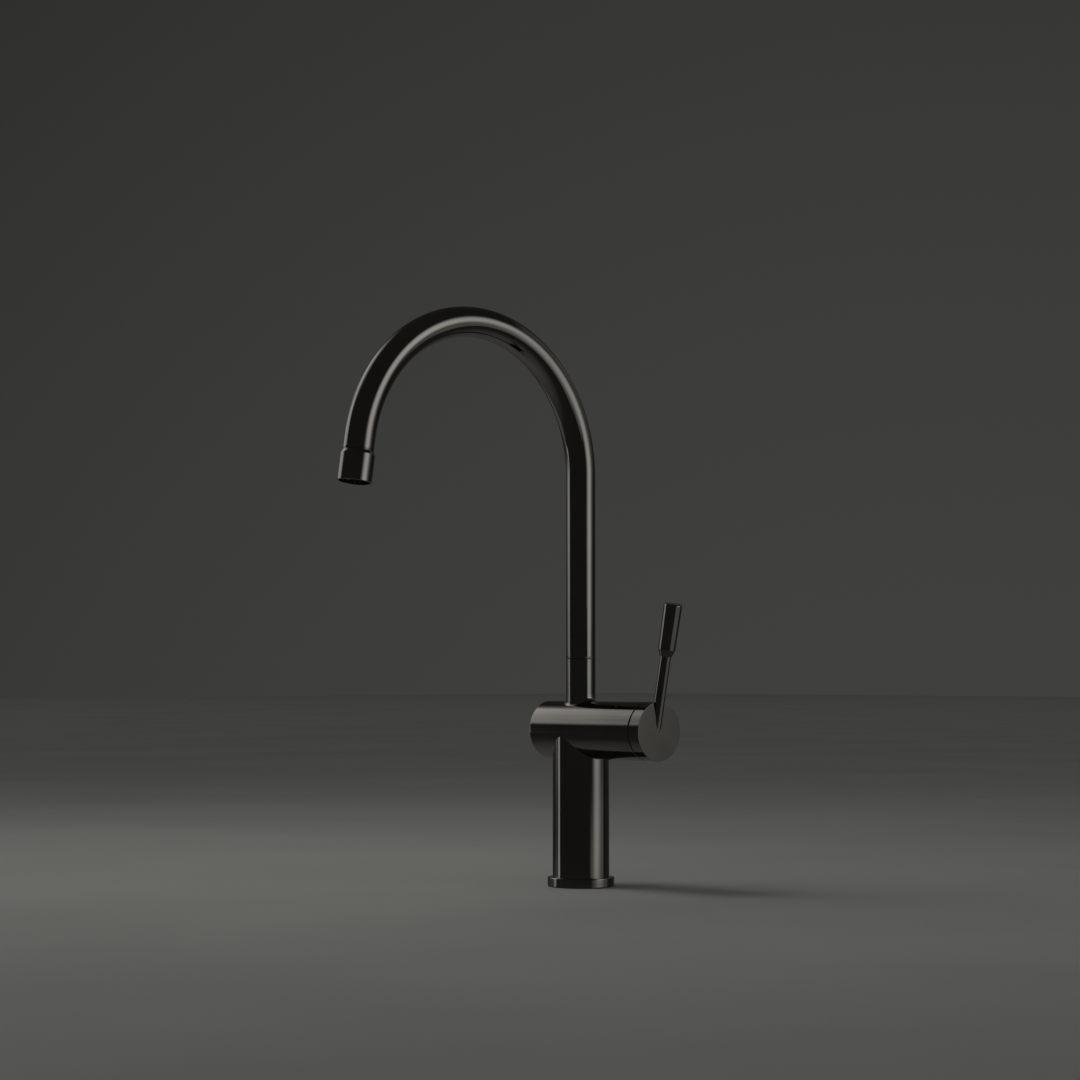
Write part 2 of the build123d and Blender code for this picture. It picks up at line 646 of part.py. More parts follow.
PIECES = {
    "deck_gasket": deck_gasket,
    "base_flange": base_flange,
    "foot_insert": foot_insert,
    "column_shell": column_shell,
    "supply_tube_seals": supply_seals,
    "valve_barrel": valve_barrel,
    "barrel_end_plug": barrel_end_plug,
    "valve_core": valve_core,
    "swivel_socket": swivel_socket,
    "swivel_washer": swivel_washer,
    "spout_grub_screw": spout_grub_screw,
    "spout_tube": spout_tube,
    "swivel_stem": swivel_stem,
    "slide_rings": slide_rings,
    "stem_o_rings": stem_o_rings,
    "nozzle_adapter": nozzle_adapter,
    "nozzle_housing": nozzle_housing,
    "aerator_washer": aerator_washer,
    "aerator_insert": aerator_insert,
    "aerator_screen": aerator_screen,
    "port_seals": port_seals,
    "cartridge_base": cartridge_base,
    "fixed_ceramic_disc": fixed_ceramic_disc,
    "cartridge_housing": cartridge_housing,
    "retaining_nut": retaining_nut,
    "cover_ring": cover_ring,
    "moving_ceramic_disc": moving_ceramic_disc,
    "disc_carrier": disc_carrier,
    "stem_carrier": stem_carrier,
    "stem_pin": stem_pin,
    "cartridge_stem": cartridge_stem,
    "lever_cap": lever_cap,
    "lever_grub_screw": lever_grub_screw,
    "lever_rod": lever_rod,
    "lever_grip": lever_grip,
}

for node, make in PIECES.items():
    save(node, make())
save("hot_supply_tube", supply_tube(-INLET_OFFSET))
save("cold_supply_tube", supply_tube(INLET_OFFSET))
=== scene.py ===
import json
import math

import bmesh
import bpy
from mathutils import Matrix, Quaternion, Vector


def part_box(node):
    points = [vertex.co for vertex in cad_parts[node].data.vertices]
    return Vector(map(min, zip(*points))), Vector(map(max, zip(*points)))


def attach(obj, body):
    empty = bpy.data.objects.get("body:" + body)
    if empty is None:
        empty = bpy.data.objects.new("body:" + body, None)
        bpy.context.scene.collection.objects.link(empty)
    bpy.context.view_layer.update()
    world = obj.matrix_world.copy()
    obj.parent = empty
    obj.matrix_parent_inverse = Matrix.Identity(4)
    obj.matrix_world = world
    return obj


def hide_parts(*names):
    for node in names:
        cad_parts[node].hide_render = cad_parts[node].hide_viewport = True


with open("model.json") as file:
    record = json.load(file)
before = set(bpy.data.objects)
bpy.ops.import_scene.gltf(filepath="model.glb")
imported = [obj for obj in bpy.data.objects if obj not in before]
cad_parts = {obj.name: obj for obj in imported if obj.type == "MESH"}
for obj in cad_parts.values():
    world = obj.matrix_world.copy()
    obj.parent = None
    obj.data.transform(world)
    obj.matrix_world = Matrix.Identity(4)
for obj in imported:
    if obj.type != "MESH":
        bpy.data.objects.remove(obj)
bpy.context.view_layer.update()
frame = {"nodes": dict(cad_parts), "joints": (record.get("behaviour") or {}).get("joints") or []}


# Camera
# It stands where the photograph was taken from. A fit to the edges of the column, the
# barrel and the spout gives its place, its turn round the tap and its lens.
CAMERA_AZIMUTH = math.radians(46.164)
CAMERA_DISTANCE = 1.8798
CAMERA_HEIGHT = 0.1587
CAMERA_PITCH = math.radians(2.994)
CAMERA_YAW = math.radians(0.928)
CAMERA_LENS = 83.95


def round_the_tap(azimuth, distance, height):
    """A point round the column: azimuth 0 is in front of the spout, and 90 degrees is at the lever."""
    return Vector((distance * math.sin(azimuth), -distance * math.cos(azimuth), height))


camera = bpy.data.objects.new("camera", bpy.data.cameras.new("camera"))
camera.data.lens = CAMERA_LENS
camera.location = round_the_tap(CAMERA_AZIMUTH, CAMERA_DISTANCE, CAMERA_HEIGHT)
camera.rotation_euler = (math.pi / 2 + CAMERA_PITCH, 0, CAMERA_AZIMUTH + CAMERA_YAW)
bpy.context.scene.collection.objects.link(camera)
bpy.context.scene.camera = camera


# Floor
# A pale matt studio floor, wide enough to run out of every view, a hair under the gasket and
# the foot. The plating mirrors only the part close round the foot, which fades outwards.
FLOOR_HALF = 12.0
FLOOR_Z = -0.0001
FLOOR_PALE = (0.79, 0.80, 0.79, 1)
FLOOR_SHADE = (0.74, 0.75, 0.74, 1)
FLOOR_MOTTLE = 3.0
FLOOR_ROUGH = 0.75
MIRRORED_NEAR = 0.03
MIRRORED_FAR = 0.17
MIRRORED_SHARE = 0.35
BLEND_SPAN = (0.35, 0.65)       # the part of the noise over which a colour changes


def object_noise(tree, scale, stretch=(1, 1, 1), detail=3.0):
    """Noise on the object's own coordinates, which is drawn out along an axis by stretch."""
    place = tree.nodes.new("ShaderNodeTexCoord")
    mapping = tree.nodes.new("ShaderNodeMapping")
    mapping.inputs["Scale"].default_value = stretch
    noise = tree.nodes.new("ShaderNodeTexNoise")
    noise.inputs["Scale"].default_value = scale
    noise.inputs["Detail"].default_value = detail
    tree.links.new(place.outputs["Object"], mapping.inputs["Vector"])
    tree.links.new(mapping.outputs["Vector"], noise.inputs["Vector"])
    return noise.outputs["Fac"]


def blend_colours(tree, factor, first, second):
    """A colour that runs from the first to the second as the factor rises."""
    ramp = tree.nodes.new("ShaderNodeValToRGB")
    for stop, at, colour in zip(ramp.color_ramp.elements, BLEND_SPAN, (first, second)):
        stop.position = at
        stop.color = colour
    tree.links.new(factor, ramp.inputs["Fac"])
    return ramp.outputs["Color"]


def new_finish(name):
    """A node material, its tree and its shader."""
    material = bpy.data.materials.new(name)
    material.use_nodes = True
    return material, material.node_tree, material.node_tree.nodes["Principled BSDF"]


def floor_plaster(fading=False):
    """The floor's surface, which can fade away with the distance from the tap."""
    material, tree, shader = new_finish("floor_plaster_fading" if fading else "floor_plaster")
    mottle = object_noise(tree, FLOOR_MOTTLE)
    tree.links.new(blend_colours(tree, mottle, FLOOR_SHADE, FLOOR_PALE), shader.inputs["Base Color"])
    shader.inputs["Roughness"].default_value = FLOOR_ROUGH
    shader.inputs["Specular IOR Level"].default_value = 0.0
    if fading:
        away = tree.nodes.new("ShaderNodeVectorMath")
        away.operation = "LENGTH"
        fade = tree.nodes.new("ShaderNodeMapRange")
        fade.interpolation_type = "SMOOTHSTEP"
        fade.inputs["From Min"].default_value = MIRRORED_FAR
        fade.inputs["From Max"].default_value = MIRRORED_NEAR
        fade.inputs["To Max"].default_value = MIRRORED_SHARE
        place = tree.nodes.new("ShaderNodeTexCoord")
        tree.links.new(place.outputs["Object"], away.inputs[0])
        tree.links.new(away.outputs["Value"], fade.inputs["Value"])
        tree.links.new(fade.outputs["Result"], shader.inputs["Alpha"])
    return material


def floor_square(name, half, plaster):
    """A flat square with the tap's foot in its middle."""
    corners = [(x * half, y * half, FLOOR_Z) for x, y in ((-1, -1), (1, -1), (1, 1), (-1, 1))]
    mesh = bpy.data.meshes.new(name)
    mesh.from_pydata(corners, [], [(0, 1, 2, 3)])
    mesh.materials.append(plaster)
    square = bpy.data.objects.new(name, mesh)
    bpy.context.scene.collection.objects.link(square)
    return square


floor = floor_square("floor", FLOOR_HALF, floor_plaster())
floor.visible_glossy = False

mirrored = floor_square("floor_in_mirrors", MIRRORED_FAR, floor_plaster(fading=True))
mirrored.visible_camera = False
mirrored.visible_diffuse = False
mirrored.visible_shadow = False


# Studio light
# A dim room with a lit backdrop behind the tap and a faint glow from the ground below it.
# Soft light panels draw the bright bands on the plating, and two lamps light the floor.
ROOM_DARK = (0.0310, 0.0310, 0.0294)
BACKDROP = {0.84: ROOM_DARK, 1.0: (0.0560, 0.0560, 0.0530)}
BACKDROP_TOWARD = (171, -6)         # degrees: turn from the camera round to the right, and height
GROUND = {0.0: (0, 0, 0), 0.5: (0.0060, 0.0060, 0.0057), 1.0: (0.1200, 0.1200, 0.1130)}
GROUND_TOWARD = (-165, -69)
LAMP_WHITE = (1.0, 0.985, 0.945)
PANEL_AWAY = 5.0
SOFTBOXES = {                       # turn, lowest and highest point, width, lean, soft share, radiance
    "softbox_right": (73.3, (-0.69, 3.38), 6.54, -32, 0.92, 0.89),
    "fill_right": (71.2, (-2.04, -0.05), 7.4, -2, 0.30, 0.16),
    "glow_right": (118.3, (0.63, 3.82), 7.26, -22, 0.49, 0.085),
    "streak_right": (135, (2.1, 2.8), 3.2, 12, 0.9, 0.06),
    "softbox_left": (-111.8, (0.23, 3.30), 3.11, 44.4, 0.57, 0.47),
    "softbox_high": (-128, (2.95, 4.64), 2.49, -64, 0.62, 0.36),
    "softbox_wide": (-124.7, (2.91, 5.10), 9.46, -71.7, 0.93, 0.465),
    "strip_left": (-100.9, (-0.79, 0.79), 0.99, -4.7, 0.13, 0.51),
    "fill_left": (-123.1, (-2.53, -0.25), 4.52, -2.4, 0.28, 0.122),
}
WASH_HEIGHT = 8.0
WASH_SIDE = 34.0
WASH_RADIANCE = 0.053
POOL_PLACE = (-100, 0.55, 1.25)     # turn, distance and height
POOL_SIDE = 0.5
POOL_RADIANCE = 2.3


def room_glow(tree, toward, stops):
    """A colour that follows the stops {cosine of the angle from a direction in the room: colour}."""
    turn, height = [math.radians(angle) for angle in toward]
    near = tree.nodes.new("ShaderNodeVectorMath")
    near.operation = "DOT_PRODUCT"
    near.inputs[1].default_value = round_the_tap(CAMERA_AZIMUTH + turn, math.cos(height), math.sin(height))
    tree.links.new(tree.nodes.new("ShaderNodeTexCoord").outputs["Generated"], near.inputs[0])
    ramp = tree.nodes.new("ShaderNodeValToRGB")
    ready = len(ramp.color_ramp.elements)
    for k, (at, colour) in enumerate(stops.items()):
        stop = ramp.color_ramp.elements[k] if k < ready else ramp.color_ramp.elements.new(at)
        stop.position = at
        stop.color = (*colour, 1)
    tree.links.new(near.outputs["Value"], ramp.inputs["Fac"])
    return ramp.outputs["Color"]


def studio_room():
    room = bpy.data.worlds.new("studio_room")
    room.use_nodes = True
    tree = room.node_tree
    both = tree.nodes.new("ShaderNodeVectorMath")
    both.operation = "ADD"
    tree.links.new(room_glow(tree, BACKDROP_TOWARD, BACKDROP), both.inputs[0])
    tree.links.new(room_glow(tree, GROUND_TOWARD, GROUND), both.inputs[1])
    tree.links.new(both.outputs["Vector"], tree.nodes["Background"].inputs["Color"])
    return room


def new_lamp(name, turn, distance, height, size, radiance):
    """A light panel, turn degrees round from the camera to the right, that faces down."""
    light = bpy.data.lights.new(name, "AREA")
    light.shape = "RECTANGLE"
    light.size, light.size_y = size
    light.color = LAMP_WHITE
    light.energy = radiance * math.pi * light.size * light.size_y
    lamp = bpy.data.objects.new(name, light)
    lamp.location = round_the_tap(CAMERA_AZIMUTH + math.radians(turn), distance, height)
    lamp.visible_camera = False
    bpy.context.scene.collection.objects.link(lamp)
    return lamp


def softbox(name, turn, heights, width, lean, soft, radiance):
    """An upright light panel that faces the tap.

    Its top leans to the right by lean degrees. From the edges inwards it brightens over the
    share soft of its half width and half height.
    """
    low, high = heights
    tall = (high - low) / math.cos(math.radians(lean))
    lamp = new_lamp(name, turn, PANEL_AWAY, (low + high) / 2, (width, tall), radiance)
    outwards = lamp.location * Vector((1, 1, 0))
    lamp.rotation_euler = (
        outwards.to_track_quat("Z", "Y") @ Quaternion((0, 0, 1), -math.radians(lean))
    ).to_euler()
    lamp.data.use_nodes = True
    tree = lamp.data.node_tree
    split = tree.nodes.new("ShaderNodeSeparateXYZ")
    tree.links.new(tree.nodes.new("ShaderNodeNewGeometry").outputs["Parametric"], split.inputs["Vector"])
    shares = []
    for side in "XY":
        # How far in from the nearer edge: 0 at the edges and half the panel's side in the middle.
        inwards = tree.nodes.new("ShaderNodeMath")
        inwards.operation = "PINGPONG"
        inwards.inputs[1].default_value = 0.5
        rise = tree.nodes.new("ShaderNodeMapRange")
        rise.interpolation_type = "SMOOTHSTEP"
        rise.inputs["From Max"].default_value = soft / 2
        tree.links.new(split.outputs[side], inwards.inputs[0])
        tree.links.new(inwards.outputs["Value"], rise.inputs["Value"])
        shares.append(rise.outputs["Result"])
    strength = tree.nodes.new("ShaderNodeMath")
    strength.operation = "MULTIPLY"
    tree.links.new(shares[0], strength.inputs[0])
    tree.links.new(shares[1], strength.inputs[1])
    tree.links.new(strength.outputs["Value"], tree.nodes["Emission"].inputs["Strength"])
    lamp.visible_diffuse = False


bpy.context.scene.world = studio_room()
for name, sizes in SOFTBOXES.items():
    softbox(name, *sizes)

wash = new_lamp("floor_wash", 0, 0, WASH_HEIGHT, (WASH_SIDE, WASH_SIDE), WASH_RADIANCE)
pool = new_lamp("floor_pool", *POOL_PLACE, (POOL_SIDE, POOL_SIDE), POOL_RADIANCE)
pool.rotation_euler = pool.location.to_track_quat("Z", "Y").to_euler()
for lamp in (wash, pool):
    lamp.visible_glossy = False


# Base flange and gasket
# The flange is a turned brass ring, plated like the rest and pushed down over the foot of
# the column. A rubber ring in the groove under it seals against the deck.
TURNED_SIDES = 256
ROUND_STEPS = 4
ROUND_HOLD = 0.35               # of a rounding's radius, flat before and after it
CREASE = math.radians(32)
ON_AXIS = 1e-6
UPRIGHT = Matrix.Identity(4)

PLATING = (0.315, 0.308, 0.292, 1)
PLATING_DEEP = (0.275, 0.268, 0.254, 1)
PLATING_GLOSS = (0.05, 0.09)
PLATING_CLOUDS = 22.0
PLATING_HAIRLINES = 900.0
PLATING_HAIRLINE_LIE = (1, 1, 0.12)
PLATING_HAIRLINE_DEPTH = 0.0000012

RUBBER_BLACK = (0.018, 0.018, 0.018, 1)
RUBBER_GREY = (0.03, 0.03, 0.029, 1)

NOISE_SPAN = (0.3, 0.7)         # most of a noise lies between these
LINE_DETAIL = 2.0
MOULDED_PLAY = 0.05             # how much the roughness of a moulded skin varies

FIT = 0.00002                   # between pieces that are pressed or screwed together
GASKET_W = 0.002
FLANGE_BORE_EDGE = 0.00015
FLANGE_FOOT_EDGE = 0.0002
FLANGE_TOP_EDGE = 0.0008


def scaled(tree, factor, low, high):
    """A number that runs from low to high as the factor runs over the middle of its range."""
    spread = tree.nodes.new("ShaderNodeMapRange")
    spread.inputs["From Min"].default_value = NOISE_SPAN[0]
    spread.inputs["From Max"].default_value = NOISE_SPAN[1]
    spread.inputs["To Min"].default_value = low
    spread.inputs["To Max"].default_value = high
    tree.links.new(factor, spread.inputs["Value"])
    return spread.outputs["Result"]


def raise_grain(tree, shader, height, depth):
    """Fine relief of a depth in metres."""
    bump = tree.nodes.new("ShaderNodeBump")
    bump.inputs["Distance"].default_value = depth
    tree.links.new(height, bump.inputs["Height"])
    tree.links.new(bump.outputs["Normal"], shader.inputs["Normal"])


def dark_plating():
    """Dark chrome over polished brass and steel: cloudy gloss and faint polishing hairlines."""
    material, tree, shader = new_finish("dark_plating")
    clouds = object_noise(tree, PLATING_CLOUDS)
    hairlines = object_noise(tree, PLATING_HAIRLINES, PLATING_HAIRLINE_LIE, LINE_DETAIL)
    tree.links.new(blend_colours(tree, clouds, PLATING_DEEP, PLATING), shader.inputs["Base Color"])
    tree.links.new(scaled(tree, clouds, *PLATING_GLOSS), shader.inputs["Roughness"])
    raise_grain(tree, shader, hairlines, PLATING_HAIRLINE_DEPTH)
    shader.inputs["Metallic"].default_value = 1.0
    return material


def moulded(name, first, second, roughness, speckle, depth):
    """Rubber, plastic or ceramic: a faintly mottled body with a fine moulded or lapped skin."""
    material, tree, shader = new_finish(name)
    grain = object_noise(tree, speckle)
    gloss = scaled(tree, grain, roughness - MOULDED_PLAY, roughness + MOULDED_PLAY)
    tree.links.new(blend_colours(tree, grain, first, second), shader.inputs["Base Color"])
    tree.links.new(gloss, shader.inputs["Roughness"])
    raise_grain(tree, shader, grain, depth)
    return material


def dress(material, *nodes):
    """Gives a finish to pieces that keep the shape they have in the frame."""
    for node in nodes:
        for slot in frame["nodes"][node].material_slots:
            slot.material = material


def rounded(corners):
    """A closed outline through corners (x, y, radius), each rounded off where its radius isn't 0."""
    points = []
    for k, (x, y, radius) in enumerate(corners):
        corner = Vector((x, y))
        if not radius:
            points.append(corner)
            continue
        back = (Vector(corners[k - 1][:2]) - corner).normalized()
        onward = (Vector(corners[(k + 1) % len(corners)][:2]) - corner).normalized()
        half = back.angle(onward) / 2
        reach = radius / math.tan(half)
        centre = corner + (back + onward).normalized() * radius / math.sin(half)
        start = corner + back * reach - centre
        end = corner + onward * reach - centre
        sweep = math.atan2(start.x * end.y - start.y * end.x, start.dot(end))
        points.append(corner + back * (reach + ROUND_HOLD * radius))
        for step in range(ROUND_STEPS + 1):
            turn = Matrix.Rotation(sweep * step / ROUND_STEPS, 2)
            points.append(centre + turn @ start)
        points.append(corner + onward * (reach + ROUND_HOLD * radius))
    return points


def join_rings(mesh, first, second):
    """Faces between two rings of corners. A ring of one corner is a pole."""
    for k in range(max(len(first), len(second))):
        corners = (first[k % len(first)], first[(k + 1) % len(first)],
                   second[(k + 1) % len(second)], second[k % len(second)])
        corners = list(dict.fromkeys(corners))
        if len(corners) > 2:
            mesh.faces.new(corners)


def turned_mesh(outline, axis=UPRIGHT, sides=TURNED_SIDES):
    """The closed outline, of points (radius, distance along the axis), turned about the axis."""
    mesh = bmesh.new()
    rings = []
    for radius, along in outline:
        count = sides if radius > ON_AXIS else 1
        turns = [2 * math.pi * k / sides for k in range(count)]
        places = [(radius * math.cos(t), radius * math.sin(t), along) for t in turns]
        rings.append([mesh.verts.new(axis @ Vector(p)) for p in places])
    for k, ring in enumerate(rings):
        join_rings(mesh, rings[k - 1], ring)
    bmesh.ops.recalc_face_normals(mesh, faces=mesh.faces)
    return mesh


def new_object(name, mesh):
    """An object of a bmesh, which is used up."""
    data = bpy.data.meshes.new(name)
    mesh.to_mesh(data)
    mesh.free()
    made = bpy.data.objects.new(name, data)
    bpy.context.scene.collection.objects.link(made)
    return made


def seat(piece, material, slot, body, *nodes):
    """Gives a finished shape its surface, and sets it in the frame in place of these nodes."""
    piece.data.materials.clear()
    piece.data.materials.append(material)
    piece.data.shade_smooth()
    piece.data.set_sharp_from_angle(angle=CREASE)
    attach(piece, body)
    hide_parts(*nodes)


plating = dark_plating()
rubber = moulded(
    "sealing_rubber", RUBBER_BLACK, RUBBER_GREY, roughness=0.6, speckle=1500.0, depth=0.00002)

flange_low, flange_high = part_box("base_flange")
gasket_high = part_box("deck_gasket")[1]
column_low, column_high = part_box("column_shell")
column_r = column_high.x
groove_r = gasket_high.x + FIT
groove_bore_r = gasket_high.x - GASKET_W - FIT
flange_ring = turned_mesh(rounded([
    (column_r + FIT, flange_low.z, 0),
    (groove_bore_r, flange_low.z, 0),
    (groove_bore_r, gasket_high.z, 0),
    (groove_r, gasket_high.z, 0),
    (groove_r, flange_low.z, 0),
    (flange_high.x, flange_low.z, FLANGE_FOOT_EDGE),
    (flange_high.x, flange_high.z, FLANGE_TOP_EDGE),
    (column_r + FIT, flange_high.z, FLANGE_BORE_EDGE),
]))
seat(new_object("flange_ring", flange_ring), plating, "dark_chrome", "tap_body", "base_flange")
dress(rubber, "deck_gasket")


# Foot and supply tubes
# The foot is turned from brass bar, and closes the column under the deck line. Two drawn
# copper tubes are soldered into it and carry the hot and the cold water up to the valve.
BRASS = (0.66, 0.50, 0.24, 1)
BRASS_DARK = (0.55, 0.40, 0.18, 1)
COPPER = (0.70, 0.36, 0.23, 1)
COPPER_DARK = (0.58, 0.28, 0.17, 1)
TOOL_MARK_PLAY = 0.07           # how much the marks vary the roughness
TOOL_MARK_DEPTH = 0.00001
CLOUDS_COARSER = 20             # than the tool marks


def machined(name, first, second, roughness, lines, lie):
    """Bare metal with fine tool marks, which run across the lie of the piece."""
    material, tree, shader = new_finish(name)
    marks = object_noise(tree, lines, lie, LINE_DETAIL)
    clouds = object_noise(tree, lines / CLOUDS_COARSER)
    gloss = scaled(tree, marks, roughness - TOOL_MARK_PLAY, roughness + TOOL_MARK_PLAY)
    tree.links.new(blend_colours(tree, clouds, first, second), shader.inputs["Base Color"])
    tree.links.new(gloss, shader.inputs["Roughness"])
    raise_grain(tree, shader, marks, TOOL_MARK_DEPTH)
    shader.inputs["Metallic"].default_value = 1.0
    return material


upright_brass = machined(
    "turned_brass_upright", BRASS, BRASS_DARK, roughness=0.28, lines=400.0, lie=(0.05, 0.05, 1))
copper = machined("drawn_copper", COPPER, COPPER_DARK, roughness=0.25, lines=500.0, lie=(1, 1, 0.04))
dress(upright_brass, "foot_insert", "swivel_socket", "swivel_stem")
dress(copper, "hot_supply_tube", "cold_supply_tube")
dress(rubber, "supply_tube_seals")


# Column
# A plated brass tube. Its top is coped to the underside of the barrel and brazed to it,
# so that the joint shows only as a crisp line.
COLUMN_WALL = 0.0015
COPE_GAP = 0.00003

barrel_low, barrel_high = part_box("valve_barrel")
barrel_r = barrel_high.y
barrel_z = barrel_low.z + barrel_r


def coped_tube_mesh(outer, wall, bottom):
    """An upright tube whose top follows the barrel that lies across it."""
    mesh = bmesh.new()
    rings = []
    for radius, at_top in ((outer, False), (outer, True), (outer - wall, True), (outer - wall, False)):
        ring = []
        for k in range(TURNED_SIDES):
            turn = 2 * math.pi * k / TURNED_SIDES
            x, y = radius * math.cos(turn), radius * math.sin(turn)
            cope = barrel_z - math.sqrt((barrel_r + COPE_GAP) ** 2 - y ** 2)
            ring.append(mesh.verts.new((x, y, cope if at_top else bottom)))
        rings.append(ring)
    for k, ring in enumerate(rings):
        join_rings(mesh, rings[k - 1], ring)
    bmesh.ops.recalc_face_normals(mesh, faces=mesh.faces)
    return mesh


column = new_object("column_tube", coped_tube_mesh(column_r, COLUMN_WALL, column_low.z))
seat(column, plating, "dark_chrome", "tap_body", "column_shell")


# Barrel and neck
# One brazed and polished piece: the barrel lies across the column, and a short neck stands
# on it with a soft fillet at its foot. It is bored for the valve, the spout and the pipes.
NECK_FILLET = 0.003
BARREL_EDGE = 0.0005
NECK_EDGE = 0.00003
PATCH_HALF = 0.02               # half the length of the fine patch round the neck's foot
PATCH_TURN = math.radians(58)   # half its width, as a turn about the barrel's axis
PATCH_SIDE = 44
PATCH_ROWS = 14
PATCH_EASE = 1.5
FILLET_STEPS = 10
UNDERSIDE_STEPS = 150
CARTRIDGE_BORE_R = 0.01875
NECK_BORE_R = 0.0095
PIPE_HOLE_R = 0.0155
LOCK_SCREW_R = 0.00202
LOCK_SCREW_BELOW = 0.018        # under the top of the neck
SCREW_HOLE_SIDES = 48
PAST = 0.002                    # how far a cutter runs past what it cuts

neck_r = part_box("spout_tube")[1].x
ALONG_BARREL = Matrix((
    (0, 0, 1, 0),
    (1, 0, 0, 0),
    (0, 1, 0, barrel_z),
    (0, 0, 0, 1),
))
BACKWARDS = Matrix((
    (1, 0, 0, 0),
    (0, 0, 1, 0),
    (0, -1, 0, barrel_high.z - LOCK_SCREW_BELOW),
    (0, 0, 0, 1),
))


def barrel_and_neck_mesh():
    """The outside of the barrel with its neck, as one closed solid with flat ends."""
    mesh = bmesh.new()
    skin = {}

    def on_barrel(x, turn):
        """The corner at x, and at a turn about the axis from the top. Each is made once."""
        turn = (turn + math.pi) % (2 * math.pi) - math.pi
        key = (round(x, 7), round(turn, 6))
        if key not in skin:
            place = (x, barrel_r * math.sin(turn), barrel_z + barrel_r * math.cos(turn))
            skin[key] = mesh.verts.new(place)
        return skin[key]

    steps = [k / PATCH_SIDE for k in range(PATCH_SIDE + 1)]
    across = [PATCH_TURN * (2 * s - 1) for s in steps]
    lengthways = [PATCH_HALF * (2 * s - 1) for s in steps]
    round_below = [
        PATCH_TURN + 2 * (math.pi - PATCH_TURN) * k / UNDERSIDE_STEPS for k in range(UNDERSIDE_STEPS + 1)
    ]
    start, end = barrel_low.x + BARREL_EDGE, barrel_high.x - BARREL_EDGE

    def cover(xs, turns):
        for x1, x2 in zip(xs, xs[1:]):
            for t1, t2 in zip(turns, turns[1:]):
                mesh.faces.new((on_barrel(x1, t1), on_barrel(x2, t1), on_barrel(x2, t2), on_barrel(x1, t2)))

    # Narrow rows next to the ends keep the long faces flat in the light.
    left, right = [start, start + BARREL_EDGE], [end - BARREL_EDGE, end]
    cover([*left, *lengthways, *right], round_below)
    cover([*left, -PATCH_HALF], across)
    cover([PATCH_HALF, *right], across)

    # The patch: lines run from the foot of the fillet out to the patch's border, which starts
    # at a corner, an eighth of a turn back.
    border = [(PATCH_HALF, t) for t in across[:-1]]
    border += [(-x, PATCH_TURN) for x in lengthways[:-1]]
    border += [(-PATCH_HALF, -t) for t in across[:-1]]
    border += [(x, -PATCH_TURN) for x in lengthways[:-1]]
    neck_turns = [2 * math.pi * k / len(border) - math.pi / 4 for k in range(len(border))]
    reach = neck_r + NECK_FILLET
    span = barrel_r + NECK_FILLET
    rows = [[] for _ in range(PATCH_ROWS + 1)]
    fillet_rows = [[] for _ in range(FILLET_STEPS)]
    for round_neck, (x_out, turn_out) in zip(neck_turns, border):
        cx, cy = reach * math.cos(round_neck), reach * math.sin(round_neck)
        lift = math.sqrt(span ** 2 - cy ** 2)
        foot_turn = math.asin(cy / span)
        for row in range(PATCH_ROWS + 1):
            share = (row / PATCH_ROWS) ** PATCH_EASE
            x = cx + (x_out - cx) * share
            rows[row].append(on_barrel(x, foot_turn + (turn_out - foot_turn) * share))
        centre = Vector((cx, cy, barrel_z + lift))
        to_barrel = Vector((0, -cy / span, -lift / span))
        to_neck = Vector((-math.cos(round_neck), -math.sin(round_neck), 0))
        for step in range(FILLET_STEPS):
            toward = to_barrel.slerp(to_neck, (step + 1) / FILLET_STEPS)
            fillet_rows[step].append(mesh.verts.new(centre + toward * NECK_FILLET))
    neck_rows = []
    for radius, height in (
        (neck_r, barrel_z + span + NECK_FILLET),
        (neck_r, barrel_high.z - 2 * NECK_EDGE),
        (neck_r, barrel_high.z - NECK_EDGE),
        (neck_r - NECK_EDGE, barrel_high.z),
    ):
        places = [(radius * math.cos(t), radius * math.sin(t), height) for t in neck_turns]
        neck_rows.append([mesh.verts.new(p) for p in places])
    neck_rows.append([mesh.verts.new((0, 0, barrel_high.z))])
    stack = [*reversed(rows), *fillet_rows, *neck_rows]
    for lower, upper in zip(stack, stack[1:]):
        join_rings(mesh, lower, upper)

    # The two ends, with their edges broken.
    whole_turn = [*across[:-1], *round_below[:-1]]
    for x, outwards in ((start, -1), (end, 1)):
        rings = [[on_barrel(x, t) for t in whole_turn]]
        for step in range(1, ROUND_STEPS + 1):
            turn = math.pi / 2 * step / ROUND_STEPS
            radius = barrel_r - BARREL_EDGE * (1 - math.cos(turn))
            at = x + outwards * BARREL_EDGE * math.sin(turn)
            places = [(at, radius * math.sin(t), barrel_z + radius * math.cos(t)) for t in whole_turn]
            rings.append([mesh.verts.new(p) for p in places])
        rings.append([mesh.verts.new((x + outwards * BARREL_EDGE, 0, barrel_z))])
        for inner, outer in zip(rings, rings[1:]):
            join_rings(mesh, inner, outer)
    bmesh.ops.recalc_face_normals(mesh, faces=mesh.faces)
    return mesh


def bar_mesh(radius, start, end, axis=UPRIGHT, sides=TURNED_SIDES):
    """A plain round bar, which only serves to cut or to join."""
    return turned_mesh([(0, start), (radius, start), (radius, end), (0, end)], axis, sides)


def worked(piece, *steps):
    """The piece after boolean steps (operation, bmesh), as a plain mesh. The tools are used up."""
    tools = []
    for operation, mesh in steps:
        tool = new_object("cutter", mesh)
        tools.append(tool)
        change = piece.modifiers.new("work", "BOOLEAN")
        change.operation = operation
        change.solver = "EXACT"
        change.object = tool
    evaluated = piece.evaluated_get(bpy.context.evaluated_depsgraph_get())
    data = bpy.data.meshes.new_from_object(evaluated)
    piece.modifiers.clear()
    piece.data = data
    for tool in tools:
        bpy.data.objects.remove(tool)
    return piece


